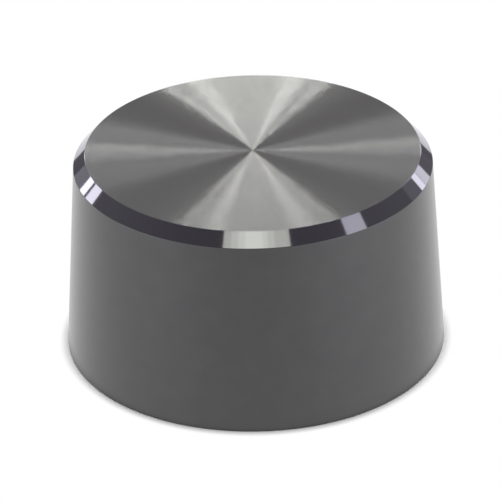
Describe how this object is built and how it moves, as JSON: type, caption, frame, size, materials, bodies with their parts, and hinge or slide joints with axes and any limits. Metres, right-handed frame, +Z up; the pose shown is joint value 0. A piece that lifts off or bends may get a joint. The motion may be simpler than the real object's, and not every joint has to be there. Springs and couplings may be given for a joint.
{
  "type": "volume knob",
  "caption": "Turned aluminium volume knob with a tapered blasted side, mirror-cut bevel, spun face and a blind 6 mm shaft bore with a set screw.",
  "frame": {"origin": "centre of the base, where the shaft's axis meets the face that the knob stands on", "axes": "+Z up the shaft's axis from the base to the spun face; the set screw's hole is on the +Y side, away from the user; X to the user's right"},
  "size_m": [0.04, 0.04, 0.022],
  "materials": {
    "anodised_aluminium": "bead-blasted and dark anodised side, diamond-cut bevel, concentrically turned face",
    "black_steel": "black oxide"
  },
  "bodies": {
    "root": {"knob_body": "anodised_aluminium", "set_screw": "black_steel"}
  },
  "joints": []
}
